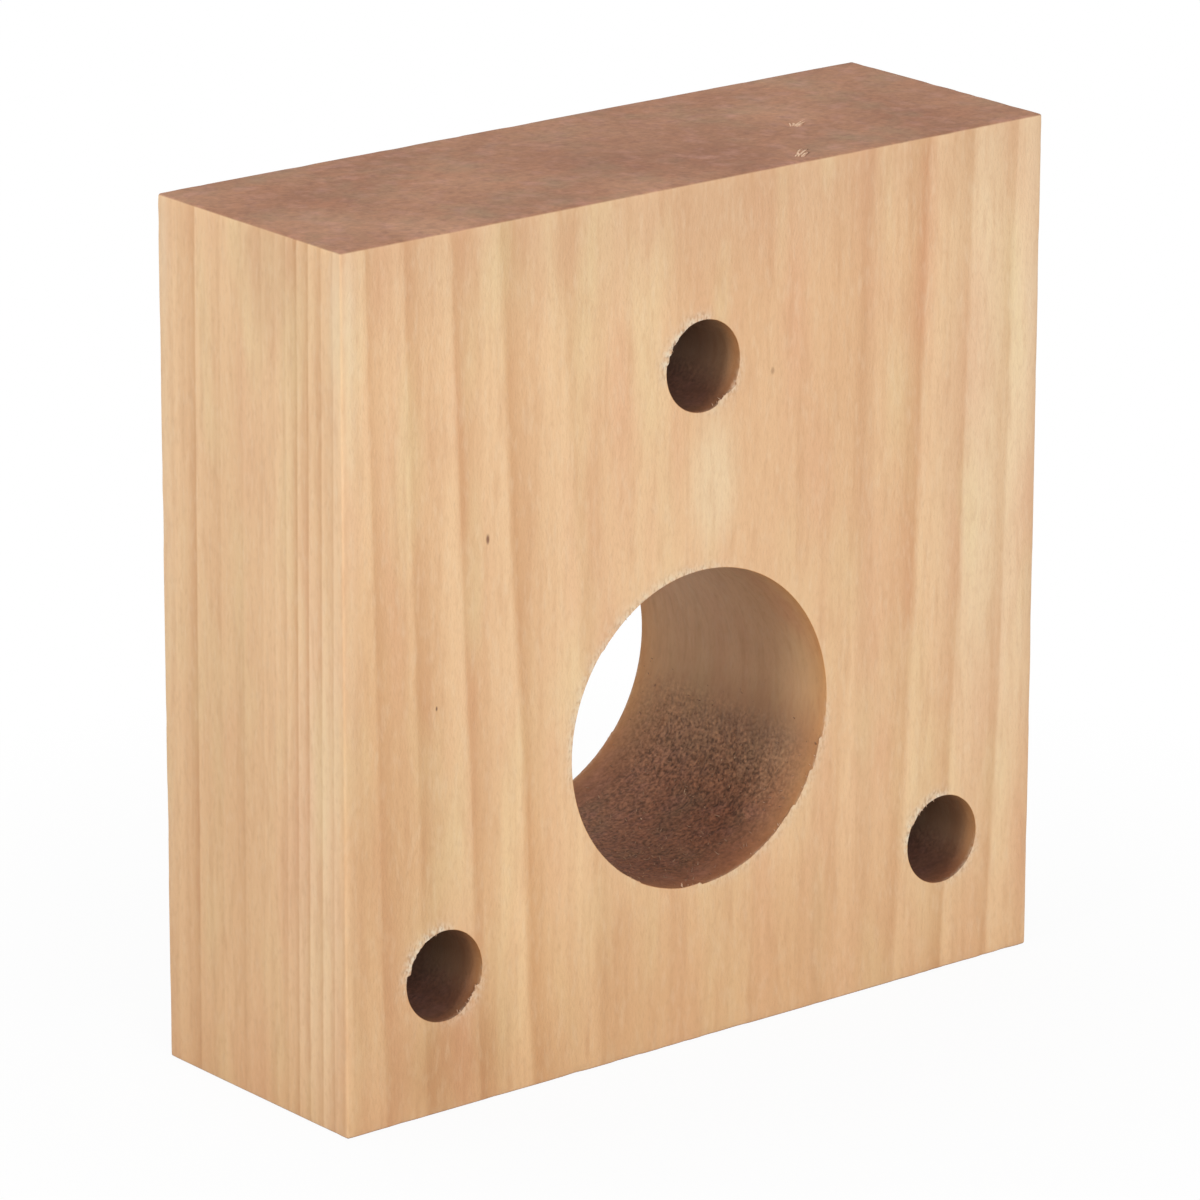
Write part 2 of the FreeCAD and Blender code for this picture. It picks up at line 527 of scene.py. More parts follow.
def nap_fibres(draw):
    """Roots and directions of the fibres that the drill raised on the bore's lower wall: rooted under the
    wall, lying any way along it and lifting to its surface."""
    angle = np.radians(draw.uniform(*NAP_ANGLES, NAP_FIBRES))
    depth = draw.uniform(LOW[1] + NAP_INSET, HIGH[1] - NAP_INSET, NAP_FIBRES)
    reach = BORE_RADIUS + NAP_DEPTH
    roots = np.stack([reach * np.cos(angle), depth, reach * np.sin(angle)], axis=1)
    lie = draw.uniform(0, 2 * math.pi, NAP_FIBRES)
    round_wall = np.stack([-np.sin(angle), np.zeros(NAP_FIBRES), np.cos(angle)], axis=1)
    lift = np.stack([-np.cos(angle), np.zeros(NAP_FIBRES), -np.sin(angle)], axis=1)
    ways = np.cos(lie)[:, None] * round_wall + NAP_LIFT * lift
    ways[:, 1] += np.sin(lie)
    return roots, ways


def fibre_skin(draw, groups):
    """Points and faces of groups of fibres, each group with its usual length and width."""
    patches = []
    for (roots, ways), length, width in groups:
        lengths = length * draw.uniform(*LENGTHS, len(roots))
        widths = width * draw.uniform(*WIDTHS, len(roots))
        points, cells = slivers(roots, ways, lengths, widths, draw.uniform(*CURLS, len(roots)))
        patches.append((np.clip(points, LOW + BOX_GAP, HIGH - BOX_GAP), cells))
    return welded(patches)


def torn_skin():
    """The pale fibres in the torn rims and in the splinters of the sawn top."""
    draw = np.random.default_rng(TORN_SEED)
    groups = []
    for name, centre, radius, _ in HOLES:
        for y_face, turn in ((LOW[1], 0), (HIGH[1], math.pi)):
            groups.append((rim_fibres(draw, name, centre, radius, y_face, turn), *RIM_FIBRE_SIZE))
    groups += [(top_fibres(draw, x, y), *TOP_FIBRE_SIZE) for x, y in SPLINTERS]
    return fibre_skin(draw, groups)


def nap_skin():
    """The oiled fibres raised on the bore's lower wall."""
    draw = np.random.default_rng(NAP_SEED)
    return fibre_skin(draw, [(nap_fibres(draw), *NAP_FIBRE_SIZE)])


# Materials

def linear(hex_colour):
    """A linear RGBA colour from an sRGB hex value, by the curve of the sRGB standard."""
    channels = np.array([int(hex_colour[i:i + 2], 16) for i in (1, 3, 5)]) / 255
    light = np.where(channels <= 0.04045, channels / 12.92, ((channels + 0.055) / 1.055) ** 2.4)
    return (*light, 1.0)


def add(tree, kind, inputs=None, stops=(), **settings):
    """Adds a node, sets its own properties and colour stops, gives each named input a value or a link, and
    returns the node's first output."""
    node = tree.nodes.new(kind)
    for name, value in settings.items():
        setattr(node, name, value)
    for _ in stops[2:]:
        node.color_ramp.elements.new(1.0)
    for number, (at, colour) in enumerate(stops):
        node.color_ramp.elements[number].position = at
        node.color_ramp.elements[number].color = colour
    for socket, value in (inputs or {}).items():
        if isinstance(value, bpy.types.NodeSocket):
            tree.links.new(value, node.inputs[socket])
        else:
            node.inputs[socket].default_value = value
    return next((output for output in node.outputs if output.enabled), None)


def new_material(name):
    """An empty material, its node tree and its shader."""
    material = bpy.data.materials.new(name)
    material.use_nodes = True
    tree = material.node_tree
    tree.nodes.clear()
    surface = add(tree, "ShaderNodeBsdfPrincipled")
    add(tree, "ShaderNodeOutputMaterial", {"Surface": surface})
    return material, tree, surface.node


def in_millimetres(tree):
    """The piece's own coordinates, in millimetres."""
    own = add(tree, "ShaderNodeTexCoord").node.outputs["Object"]
    return add(tree, "ShaderNodeVectorMath", {0: own, "Scale": 1 / MM}, operation="SCALE")


# Detail of a figure in the wood: plain, or with finer unevenness in it. Then the values that most of its
# noise lies between, and those that nearly all of it does.
PLAIN = 1.0
FINE = 2.0
MOST_NOISE = 0.3, 0.7
ALL_NOISE = 0.25, 0.75


def figure(tree, place, size, seed, detail=FINE):
    """Uneven figure in the wood, 0 to 1, in patches of the given size along x, y and z in millimetres."""
    inputs = {0: place, 1: [1 / length for length in size]}
    scaled = add(tree, "ShaderNodeVectorMath", inputs, operation="MULTIPLY")
    inputs = {"Vector": scaled, "W": seed, "Scale": 1.0, "Detail": detail}
    return add(tree, "ShaderNodeTexNoise", inputs, noise_dimensions="4D")


# Growth rings, in millimetres. The tree's middle lies behind the block and a little to the right, and leans,
# so the front is flat-sawn: a broad plain middle, with rings crowding to both sides. Each year is the radius
# where its ring ends and how dark its late wood is there; further in, the same run of years comes again.
# RING_EDGE is the width in which a ring ends, and LATE_WOOD the power by which it darkens up to there.
PITH = (2.5, 103.5)
PITH_LEAN = 0.01
YEARS_START = 101.0
YEARS_SPAN = 30.0
YEARS = [
    (103.4, 0.38), (106.9, 0.9), (110.8, 0.46), (114.4, 0.5), (117.6, 0.46), (119.6, 0.42), (121.4, 0.6),
    (123.2, 0.95), (125.0, 0.91), (127.1, 0.84), (129.0, 0.73), (130.6, 0.48),
]
RING_EDGE = 0.22
LATE_WOOD = 1.8
# Straying of the rings: patch size along x, y and z, and reach
STRAYS = [((24, 24, 75), 0.5), ((0.9, 0.9, 14), 0.12)]


def growth_rings(tree, place):
    """How dark the late wood is, 0 to 1: the distance from the pith, strayed by two sizes of noise, looked up
    in the run of years."""
    strayed = place
    for seed, (size, reach) in enumerate(STRAYS):
        noise = figure(tree, place, size, seed, PLAIN).node.outputs["Color"]
        inputs = {0: noise, 1: (reach, reach, 0), 2: strayed}
        strayed = add(tree, "ShaderNodeVectorMath", inputs, operation="MULTIPLY_ADD")
    half = sum(reach for _, reach in STRAYS) / 2
    centred = (-PITH[0] - half, -PITH[1] - half, 0)
    inputs = {"Vector": strayed, "Location": centred, "Rotation": (-PITH_LEAN, 0, 0)}
    from_pith = add(tree, "ShaderNodeMapping", inputs)
    level = add(tree, "ShaderNodeVectorMath", {0: from_pith, 1: (1, 1, 0)}, operation="MULTIPLY")
    radius = add(tree, "ShaderNodeVectorMath", {0: level}, operation="LENGTH")
    inputs = {"Value": radius, "From Min": YEARS_START, "From Max": YEARS_START + YEARS_SPAN}
    run = add(tree, "ShaderNodeMapRange", inputs, clamp=False)
    again = add(tree, "ShaderNodeMath", {0: run}, operation="FRACT")
    stops = [(0.0, (0, 0, 0, 1))]
    for end, dark in YEARS:
        at = (end - YEARS_START) / YEARS_SPAN
        stops += [(at, (dark, dark, dark, 1)), (at + RING_EDGE / YEARS_SPAN, (0, 0, 0, 1))]
    ramp = add(tree, "ShaderNodeValToRGB", {"Fac": again}, stops)
    return add(tree, "ShaderNodeMath", {0: ramp, 1: LATE_WOOD}, operation="POWER")


# Colours of the planed faces: the wood, and as shares of it a ring's end and the darker foot, partly oil
# and partly painted shade
PALE_MAPLE = "#F0C89B"
RING_TINT = "#D8BDA6"
OIL_AND_SHADE_TINT = "#DFD2C0"
# Fading of a ring along its length: patch size along x, y and z in millimetres and seed, then the least left
RING_FADE = (7, 7, 45), 3.0
RING_LEAST = 0.55
# Figure of the planed faces: size of its patches along x, y and z in millimetres, colour and strength. First
# the slow patches, pink, then straw, then streaks along the fibres: long and dark, short and dark, fine and
# pale, fine and dark.
FIGURES = [
    ((6, 6, 30), "#DD9C7A", 0.38),
    ((5, 5, 22), "#EBD6A4", 0.44),
    ((1.4, 1.4, 50), "#CF996D", 0.28),
    ((0.9, 0.9, 6), "#CC976C", 0.32),
    ((0.6, 0.6, 2.2), "#F2D9B6", 0.24),
    ((0.5, 0.5, 1.1), "#C29066", 0.2),
]
FIGURE_SEED = 4.0
# Noise at which such a patch starts and is full
PATCH_EDGE = 0.5, 0.8
# Fibres: their size and seed, and how far they shade the wood. Real ones are about a tenth as wide, too fine
# to show in the render, so they are drawn coarser.
FIBRE = (0.28, 0.28, 0.6), 30.0
FIBRE_SHADES = 0.97, 1.03
# The front face's y and the left face's x
FRONT = -16.5
LEFT = -49.9
# Spots: centre and half sizes along x, y and z in millimetres, colour and strength. On the front face: pale
# beside the bore, dark in the upper middle, a dark streak and a pale strip on the right, dark along the top
# and the left edge. On the left face: a pale strip, a dark corner and a darker middle. Then the darker foot,
# partly oil and partly painted shade, the wood under the bore, a small pale spot, the oil under the left
# hole, and dark specks.
SPOTS = [
    ((-24.0, FRONT, -17.0), (10.0, 2.0, 24.0), "#FFDBAA", 0.6),
    ((10.0, FRONT, 37.0), (20.0, 2.0, 36.0), "#DCA87C", 0.36),
    ((24.0, FRONT, 15.0), (1.7, 2.0, 75.0), "#C9946A", 0.34),
    ((44.0, FRONT, 28.0), (11.0, 2.0, 55.0), "#F6E0BA", 0.52),
    ((-5.0, FRONT, 66.0), (80.0, 2.0, 17.0), "#CFA584", 0.4),
    ((-44.0, FRONT, 2.0), (10.0, 2.0, 34.0), "#D09C68", 0.38),
    ((LEFT, -11.5, -14.0), (2.0, 5.5, 42.0), "#FFE2BA", 0.56),
    ((LEFT, -4.0, 61.0), (2.0, 7.0, 13.0), "#CFA07A", 0.4),
    ((LEFT, 4.0, 12.0), (2.0, 8.0, 42.0), "#CD9866", 0.22),
    # The darker foot: partly oil, partly painted shade
    ((0.0, 0.0, -43.0), (120.0, 60.0, 15.0), "#C9955C", 0.12),
    ((2.0, FRONT, -27.0), (32.0, 2.0, 13.0), "#D6A06A", 0.24),
    ((1.7, FRONT, 28.5), (4.2, 2.0, 9.5), "#F5DDB4", 0.62),
    ((-36.0, FRONT, -31.0), (9.0, 2.0, 8.0), "#BE8955", 0.4),
    ((-30.2, FRONT, 27.8), (0.28, 2.0, 0.66), "#704834", 0.9),
    ((-37.3, FRONT, 10.0), (0.15, 2.0, 0.32), "#6A4330", 0.9),
    ((10.05, FRONT, 39.7), (0.3, 2.0, 0.5), "#8A5C42", 0.5),
]
# Shares of its half sizes between which a spot fades out
SPOT_EDGE = 0.3, 1.2
# Darkening up from the foot, partly oil that crept up and partly painted shade: the way it thins out,
# upwards and to the right and the front, where on that way it starts and is fullest, its share there, its
# edge's patch size and seed, and how far that strays
OIL_AND_SHADE_RISE = (0.4, -0.3, 1.0)
OIL_AND_SHADE_START = 11.0
OIL_AND_SHADE_FULL = -52.0
OIL_AND_SHADE_SHARE = 0.62
OIL_AND_SHADE_EDGE = (5, 5, 12), 11.0
OIL_AND_SHADE_STRAY = 14.0


def patched(tree, place, tone, figures, seed, detail):
    """A colour with patches of other colours laid over it in turn, each uneven and of its own size."""
    for number, (size, colour, strength) in enumerate(figures):
        noise = figure(tree, place, size, seed + number, detail)
        inputs = {"Value": noise, "From Min": PATCH_EDGE[0], "From Max": PATCH_EDGE[1], "To Max": strength}
        share = add(tree, "ShaderNodeMapRange", inputs)
        tone = add(tree, "ShaderNodeMix", {"Factor": share, "A": tone, "B": linear(colour)}, data_type="RGBA")
    return tone


def spotted(tree, place, tone, spots):
    """A colour with soft-edged spots of other colours laid over it in turn."""
    near, far = SPOT_EDGE
    for centre, half, colour, strength in spots:
        shrink = 1 / np.array(half)
        inputs = {"Vector": place, "Location": -shrink * centre, "Scale": shrink}
        from_centre = add(tree, "ShaderNodeMapping", inputs)
        away = add(tree, "ShaderNodeVectorMath", {0: from_centre}, operation="LENGTH")
        inputs = {"Value": away, "From Min": near, "From Max": far, "To Min": strength, "To Max": 0.0}
        share = add(tree, "ShaderNodeMapRange", inputs, interpolation_type="SMOOTHSTEP")
        tone = add(tree, "ShaderNodeMix", {"Factor": share, "A": tone, "B": linear(colour)}, data_type="RGBA")
    return tone


def long_grain(tree, place, late):
    """Planed side of the board: pale tan, darker at each ring's end, spotted, figured in slow patches and in
    streaks along the fibres, and darker towards the foot, partly where the oil soaked in and partly as
    painted shade."""
    faded = figure(tree, place, *RING_FADE)
    inputs = {"Value": faded, "From Min": MOST_NOISE[0], "From Max": MOST_NOISE[1], "To Min": RING_LEAST}
    fade = add(tree, "ShaderNodeMapRange", inputs)
    ringed = add(tree, "ShaderNodeMath", {0: late, 1: fade}, operation="MULTIPLY")
    tone = spotted(tree, place, linear(PALE_MAPLE), SPOTS)
    inputs = {"Factor": ringed, "A": tone, "B": linear(RING_TINT)}
    tone = add(tree, "ShaderNodeMix", inputs, data_type="RGBA", blend_type="MULTIPLY")
    tone = patched(tree, place, tone, FIGURES, FIGURE_SEED, PLAIN)
    fibre = figure(tree, place, *FIBRE)
    inputs = {"Value": fibre, "To Min": FIBRE_SHADES[0], "To Max": FIBRE_SHADES[1]}
    shade = add(tree, "ShaderNodeMapRange", inputs)
    tone = add(tree, "ShaderNodeVectorMath", {0: tone, "Scale": shade}, operation="SCALE")

    # Darker towards the foot: partly oil, partly painted shade
    height = add(tree, "ShaderNodeVectorMath", {0: place, 1: OIL_AND_SHADE_RISE}, operation="DOT_PRODUCT")
    inputs = {0: figure(tree, place, *OIL_AND_SHADE_EDGE), 1: OIL_AND_SHADE_STRAY, 2: height}
    oil_and_shade_creep = add(tree, "ShaderNodeMath", inputs, operation="MULTIPLY_ADD")
    inputs = {"Value": oil_and_shade_creep, "From Min": OIL_AND_SHADE_START, "From Max": OIL_AND_SHADE_FULL, "To Max": OIL_AND_SHADE_SHARE}
    oil_and_shade_share = add(tree, "ShaderNodeMapRange", inputs)
    inputs = {"Factor": oil_and_shade_share, "A": tone, "B": linear(OIL_AND_SHADE_TINT)}
    return add(tree, "ShaderNodeMix", inputs, data_type="RGBA", blend_type="MULTIPLY")


# Browns of the sawn ends and the clouds they lie in: patch size along x, y and z in millimetres, and seed
CLOUDS = (15, 15, 15), 12.0
BROWNS = [(0.3, "#9A6B51"), (0.5, "#AA7B5E"), (0.7, "#B88A6C")]
# Their figure, laid out as that of the planed faces: russet, olive, pink, then small and dark
END_FIGURES = [
    ((5, 5, 5), "#AD765A", 0.5),
    ((6, 6, 6), "#967F64", 0.7),
    ((2.5, 2.5, 2.5), "#BC8C7A", 0.7),
    ((1.3, 1.3, 1.3), "#8A614D", 0.5),
]
END_SEED = 20.0
# Oil that dried in the middle of the sawn top, laid out as the spots are
END_SPOTS = [((2.0, 2.0, 63.0), (20.0, 12.0, 3.0), "#8C6049", 0.27)]
# Arcs left by the saw across the ends: the blade's centre in x and y, their spacing, the noise they stray by
# and its reach, and how far they shade the ends; then how much darker a ring's end is
SAW_CENTRE = (75.0, -150.0)
SAW_PITCH = 1.6
SAW_STRAY = (9, 9, 9), 14.0
SAW_REACH = 3.0
SAW_SHADES = 0.98, 1.02
END_RING_DUSK = 0.08
# Pores: their size and seed, and how far they shade the ends. Real ones are about a tenth as wide, too fine
# to show in the render, so they are drawn coarser.
PORES = (0.6, 0.6, 1.2), 15.0
PORE_SHADES = 0.85, 1.15


def end_grain(tree, place, late):
    """Sawn end of the board: open pores drank the oil and went a dull reddish brown, clouded, with faint saw
    arcs. Gives the colour and the pores."""
    browns = [(at, linear(tone)) for at, tone in BROWNS]
    brown = add(tree, "ShaderNodeValToRGB", {"Fac": figure(tree, place, *CLOUDS)}, browns)
    brown = patched(tree, place, brown, END_FIGURES, END_SEED, FINE)
    brown = spotted(tree, place, brown, END_SPOTS)
    inputs = {"Vector": place, "Location": (-SAW_CENTRE[0], -SAW_CENTRE[1], 0), "Scale": (1, 1, 0)}
    from_blade = add(tree, "ShaderNodeMapping", inputs)
    arc = add(tree, "ShaderNodeVectorMath", {0: from_blade}, operation="LENGTH")
    inputs = {0: figure(tree, place, *SAW_STRAY), 1: SAW_REACH, 2: arc}
    uneven = add(tree, "ShaderNodeMath", inputs, operation="MULTIPLY_ADD")
    stroke = add(tree, "ShaderNodeMath", {0: uneven, 1: SAW_PITCH}, operation="PINGPONG")
    inputs = {"Value": stroke, "From Max": SAW_PITCH, "To Min": SAW_SHADES[0], "To Max": SAW_SHADES[1]}
    saw = add(tree, "ShaderNodeMapRange", inputs)
    dusk = add(tree, "ShaderNodeMath", {0: late, 1: -END_RING_DUSK, 2: saw}, operation="MULTIPLY_ADD")
    pores = figure(tree, place, *PORES)
    inputs = {"Value": pores, "From Min": ALL_NOISE[0], "From Max": ALL_NOISE[1]}
    inputs |= {"To Min": PORE_SHADES[0], "To Max": PORE_SHADES[1]}
    speck = add(tree, "ShaderNodeMapRange", inputs)
    shade = add(tree, "ShaderNodeMath", {0: speck, 1: dusk}, operation="MULTIPLY")
    return add(tree, "ShaderNodeVectorMath", {0: brown, "Scale": shade}, operation="SCALE"), pores


# Share of end grain at which it starts to show, and shows in full
END_EDGE = 0.1, 0.85
# A drilled wall: the darkness from which it hides the rings, and what is left of them; its colour by its
# darkness, partly browning and partly painted shade, and its mouth's, as shares of the wood's own
BURNISHED_FROM = 0.15
BURNISHED_LEFT = 0.15
BROWNING_AND_SHADE = [(0.0, "#FFFFFF"), (0.6, "#CCC1BB"), (1.0, "#A49BA0")]
MOUTH_TINT = "#F2D8B4"
# A picked wall: patch size, seed and detail of its stipple, drawn coarser than the fibres that make it, which
# are too fine to show; then its pits, darkened as painted shade, and the fibres raised between them, paler
# by their own tone and by painted light, as shares of its colour
STIPPLE = (0.45, 0.45, 0.45), 16.0, PLAIN
PIT_PAINTED_SHADE = (0.4, 0.39, 0.4, 1.0)
RAISED_TONE_AND_LIGHT = (1.62, 1.68, 1.76, 1.0)
# A frayed rim: size and seed of its bristles, drawn coarser for the same reason, and their tones
BRISTLE = (0.35, 0.35, 0.7), 18.0
BRISTLE_TONES = [(0.38, "#AE8E74"), (0.54, "#EBDCC3")]
# A rubbed arris
RUBBED_MAPLE = "#F3DEC0"
# Relief of the fibres and pores in millimetres, its strength, and how much higher that of a picked wall is
RELIEF = 0.12
RELIEF_STRENGTH = 0.5
PICKED_RELIEF = 4.0
# Roughness of planed and of sawn wood, and the refraction of wood filled with oil
PLANED_ROUGHNESS = 0.55
SAWN_ROUGHNESS = 0.8
OILED_IOR = 1.46


def oil_soaked_maple():
    """Hard maple, planed, sawn to length and drilled, then soaked in oil: a satin pale tan with soft rings,
    dull reddish brown end grain, and darker drilled walls, partly browned and partly painted shade, picked
    rough where the drill met the grain from below, with painted shade in the pits and painted light on the
    raised fibres."""
    material, tree, shader = new_material("oil_soaked_maple_planed_and_drilled")
    place = in_millimetres(tree)
    names = ("end_grain", "bored_and_shaded", "mouth", "fuzzy", "torn", "rubbed")
    marks = [add(tree, "ShaderNodeAttribute", attribute_name=name).node.outputs["Fac"] for name in names]
    end, bored_and_shaded, mouth, fuzzy, torn, rubbed = marks
    inputs = {"Value": bored_and_shaded, "From Max": BURNISHED_FROM, "To Min": 1.0, "To Max": BURNISHED_LEFT}
    burnished = add(tree, "ShaderNodeMapRange", inputs)
    rings = growth_rings(tree, place)
    late = add(tree, "ShaderNodeMath", {0: rings, 1: burnished}, operation="MULTIPLY")
    sawn, pores = end_grain(tree, place, late)
    inputs = {"Value": end, "From Min": END_EDGE[0], "From Max": END_EDGE[1]}
    end_share = add(tree, "ShaderNodeMapRange", inputs, interpolation_type="SMOOTHSTEP")
    inputs = {"Factor": end_share, "A": long_grain(tree, place, late), "B": sawn}
    tone = add(tree, "ShaderNodeMix", inputs, data_type="RGBA")
    # A drilled wall's browning and painted shade
    stops = [(at, linear(tint)) for at, tint in BROWNING_AND_SHADE]
    browned_and_shaded = add(tree, "ShaderNodeValToRGB", {"Fac": bored_and_shaded}, stops)
    inputs = {"Factor": 1.0, "A": tone, "B": browned_and_shaded}
    tone = add(tree, "ShaderNodeMix", inputs, data_type="RGBA", blend_type="MULTIPLY")
    inputs = {"Factor": mouth, "A": tone, "B": linear(MOUTH_TINT)}
    tone = add(tree, "ShaderNodeMix", inputs, data_type="RGBA", blend_type="MULTIPLY")
    stipple = figure(tree, place, *STIPPLE)
    inputs = {"Value": stipple, "From Min": MOST_NOISE[0], "From Max": MOST_NOISE[1]}
    raised = add(tree, "ShaderNodeMapRange", inputs)
    # Painted shade in the pits, and the raised fibres paler by their own tone and by painted light
    inputs = {"Factor": raised, "A": PIT_PAINTED_SHADE, "B": RAISED_TONE_AND_LIGHT}
    pit_shade_and_fibre_light = add(tree, "ShaderNodeMix", inputs, data_type="RGBA")
    inputs = {"Factor": fuzzy, "A": tone, "B": pit_shade_and_fibre_light}
    tone = add(tree, "ShaderNodeMix", inputs, data_type="RGBA", blend_type="MULTIPLY")
    bristle = figure(tree, place, *BRISTLE)
    stops = [(at, linear(shade)) for at, shade in BRISTLE_TONES]
    frayed = add(tree, "ShaderNodeValToRGB", {"Fac": bristle}, stops)
    tone = add(tree, "ShaderNodeMix", {"Factor": torn, "A": tone, "B": frayed}, data_type="RGBA")
    inputs = {"Factor": rubbed, "A": tone, "B": linear(RUBBED_MAPLE)}
    tone = add(tree, "ShaderNodeMix", inputs, data_type="RGBA")
    tree.links.new(tone, shader.inputs["Base Color"])

    fibre = figure(tree, place, *FIBRE)
    height = add(tree, "ShaderNodeMix", {"Factor": end_share, "A": fibre, "B": pores})
    rough_height = add(tree, "ShaderNodeMath", {0: stipple, 1: PICKED_RELIEF}, operation="MULTIPLY")
    height = add(tree, "ShaderNodeMix", {"Factor": fuzzy, "A": height, "B": rough_height})
    inputs = {"Height": height, "Strength": RELIEF_STRENGTH, "Distance": RELIEF * MM}
    bump = add(tree, "ShaderNodeBump", inputs)
    tree.links.new(bump, shader.inputs["Normal"])
    inputs = {"Value": end_share, "To Min": PLANED_ROUGHNESS, "To Max": SAWN_ROUGHNESS}
    matt = add(tree, "ShaderNodeMapRange", inputs)
    tree.links.new(matt, shader.inputs["Roughness"])
    shader.inputs["IOR"].default_value = OILED_IOR
    return material


# Tones of the loose fibres, from the darkest; few of those in the nap are pale. Then their patch size in
# millimetres and seed, and the roughness of a fibre.
DRY_TONES = [(0.3, "#C49A7A"), (0.7, "#EECDB0")]
NAP_TONES = [(0.3, "#765744"), (0.62, "#A48268"), (0.72, "#DDBF9E")]
TONE_PATCHES = (0.6, 0.6, 0.6), 17.0
FIBRE_ROUGHNESS = 0.85


def loose_fibre(name, tones):
    """Bare maple fibres torn loose by the drill: matt, each a little darker or paler than the next."""
    material, tree, shader = new_material(name)
    uneven = figure(tree, in_millimetres(tree), *TONE_PATCHES)
    stops = [(at, linear(tone)) for at, tone in tones]
    tone = add(tree, "ShaderNodeValToRGB", {"Fac": uneven}, stops)
    tree.links.new(tone, shader.inputs["Base Color"])
    shader.inputs["Roughness"].default_value = FIBRE_ROUGHNESS
    return material


def plainly_seen(tree):
    """1 for the rays that show a thing to the eye, straight, by reflection or through glass, and 0 for those
    that light others."""
    ray = add(tree, "ShaderNodeLightPath").node.outputs
    inputs = {0: ray["Is Camera Ray"], 1: ray["Is Glossy Ray"]}
    seen = add(tree, "ShaderNodeMath", inputs, operation="MAXIMUM")
    return add(tree, "ShaderNodeMath", {0: seen, 1: ray["Is Transmission Ray"]}, operation="MAXIMUM")


# White paper: its colour and roughness, the distances from the bore's middle in millimetres between which it
# burns out to white, and how far it is burnt out nearer than that
WHITE = "#FFFFFF"
PAPER = "#E0E0E0"
PAPER_ROUGHNESS = 0.9
BURNT_NEAR = 55.0
BURNT_FAR = 130.0
BURNT_LEAST = 0.94


def white_paper():
    """Seamless white paper: matt, a faint shadow under the block, and plain burnt-out white away from it."""
    material, tree, shader = new_material("seamless_white_paper")
    shader.inputs["Base Color"].default_value = linear(PAPER)
    shader.inputs["Roughness"].default_value = PAPER_ROUGHNESS
    glow = add(tree, "ShaderNodeEmission", {"Color": linear(WHITE), "Strength": 1.0})
    away = add(tree, "ShaderNodeVectorMath", {0: in_millimetres(tree)}, operation="LENGTH")
    inputs = {"Value": away, "From Min": BURNT_NEAR, "From Max": BURNT_FAR, "To Min": BURNT_LEAST}
    burnt = add(tree, "ShaderNodeMapRange", inputs)
    share = add(tree, "ShaderNodeMath", {0: plainly_seen(tree), 1: burnt}, operation="MULTIPLY")
    mixed = add(tree, "ShaderNodeMixShader", {0: share, 1: shader.outputs["BSDF"], 2: glow})
    tree.links.new(mixed, tree.nodes["Material Output"].inputs["Surface"])
    return material


# Pieces

# Edges that turn by more than this stay sharp
SHARP_TURN = math.radians(40)


def piece(name, skin, material, marks=None):
    """A mesh object at the origin from points in millimetres, with its marks as point attributes."""
    points, faces = skin
    mesh = bpy.data.meshes.new(name)
    mesh.from_pydata((points * MM).tolist(), [], faces)
    made = bmesh.new()
    made.from_mesh(mesh)
    bmesh.ops.recalc_face_normals(made, faces=made.faces)
    made.to_mesh(mesh)
    made.free()
    for mark, values in (marks or {}).items():
        mesh.attributes.new(mark, "FLOAT", "POINT").data.foreach_set("value", values.astype(np.float32))
    mesh.shade_smooth()
    mesh.set_sharp_from_angle(angle=SHARP_TURN)
    mesh.materials.append(material)
    obj = bpy.data.objects.new(name, mesh)
    bpy.context.scene.collection.objects.link(obj)
    return obj


def drilled_block():
    """The block itself: its sound skin marked, then worn."""
    points, faces = block_skin()
    marks = surface_marks(points)
    return piece("drilled_block", (worn(points, marks), faces), oil_soaked_maple(), marks)


block = drilled_block()
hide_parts("bearing_block")
torn_fibres = piece("torn_fibres", torn_skin(), loose_fibre("torn_dry_maple", DRY_TONES))
bore_nap = piece("bore_nap", nap_skin(), loose_fibre("oil_soaked_maple_nap", NAP_TONES))
for wooden in (block, torn_fibres, bore_nap):
    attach(wooden, "root")


# Studio

# Half the floor's side, in millimetres
FLOOR_HALF = 3000
# The camera as the photograph gives it: its place, the way it looks, its tilt, its focal length and image
# width in pixels, and the width of its sensor in millimetres
EYE = Vector((-502.25, -616.14, 260.64)) * MM
AIM = Vector((0.60196, 0.74018, -0.29963))
ROLL = math.radians(0.145)
FOCAL_PIXELS = 7383
IMAGE_PIXELS = 1200
SENSOR = 36.0
# Lamps: name, azimuth and elevation in degrees, distance, width and height in metres, and power in watts
LAMPS = [
    ("front_box", -15, 30, 1.4, 0.9, 0.9, 9.6),
    ("left_strip", -77, 22, 1.2, 0.16, 1.0, 4.3),
    ("top_box", -160, 75, 1.2, 0.8, 0.8, 3.5),
]
# Strength of the light from all round
ROOM_LIGHT = 0.34


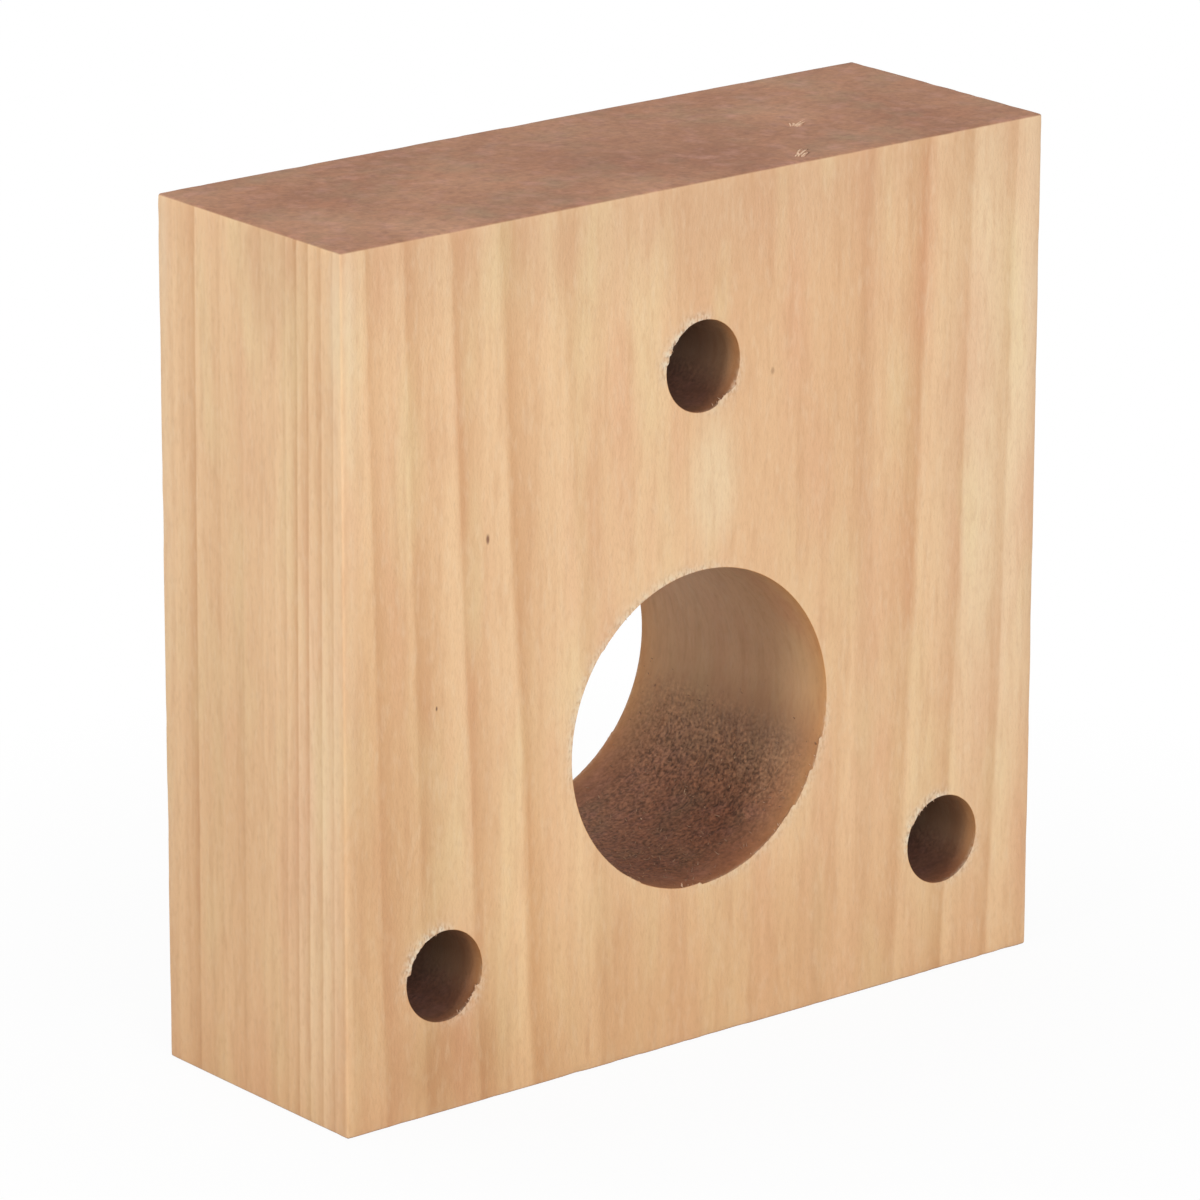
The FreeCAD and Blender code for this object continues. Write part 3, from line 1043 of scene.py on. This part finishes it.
def floor():
    """A wide flat sheet at the block's base."""
    corners = np.array([(-1, -1), (1, -1), (1, 1), (-1, 1)]) * FLOOR_HALF
    points = np.column_stack([corners, np.full(4, LOW[2])])
    return piece("floor", (points, [[0, 1, 2, 3]]), white_paper())


def camera():
    """A long lens at the photograph's place and tilt."""
    data = bpy.data.cameras.new("camera")
    data.sensor_width = SENSOR
    data.lens = FOCAL_PIXELS / IMAGE_PIXELS * SENSOR
    obj = bpy.data.objects.new("camera", data)
    obj.location = EYE
    obj.rotation_mode = "QUATERNION"
    obj.rotation_quaternion = AIM.to_track_quat("-Z", "Y") @ Quaternion((0, 0, 1), ROLL)
    bpy.context.scene.collection.objects.link(obj)
    bpy.context.scene.camera = obj


def soft_box(name, azimuth, elevation, distance, width, height, power):
    """A lamp that looks at the bore's middle; azimuth 0 is straight in front and grows to the right."""
    data = bpy.data.lights.new(name, "AREA")
    data.shape = "RECTANGLE"
    data.size = width
    data.size_y = height
    data.energy = power
    obj = bpy.data.objects.new(name, data)
    across, rise = math.radians(azimuth), math.radians(elevation)
    way = Vector((math.sin(across) * math.cos(rise), -math.cos(across) * math.cos(rise), math.sin(rise)))
    obj.location = way * distance
    obj.rotation_mode = "QUATERNION"
    obj.rotation_quaternion = (-way).to_track_quat("-Z", "Y")
    bpy.context.scene.collection.objects.link(obj)


def white_room():
    """Even light from all round, white where the camera sees it."""
    world = bpy.data.worlds.new("white_room")
    world.use_nodes = True
    tree = world.node_tree
    tree.nodes.clear()
    light = add(tree, "ShaderNodeBackground", {"Color": linear(WHITE), "Strength": ROOM_LIGHT})
    white = add(tree, "ShaderNodeBackground", {"Color": linear(WHITE), "Strength": 1.0})
    mixed = add(tree, "ShaderNodeMixShader", {0: plainly_seen(tree), 1: light, 2: white})
    add(tree, "ShaderNodeOutputWorld", {"Surface": mixed})
    bpy.context.scene.world = world


floor()
camera()
white_room()
for lamp in LAMPS:
    soft_box(*lamp)
bpy.context.scene.view_settings.view_transform = "Standard"
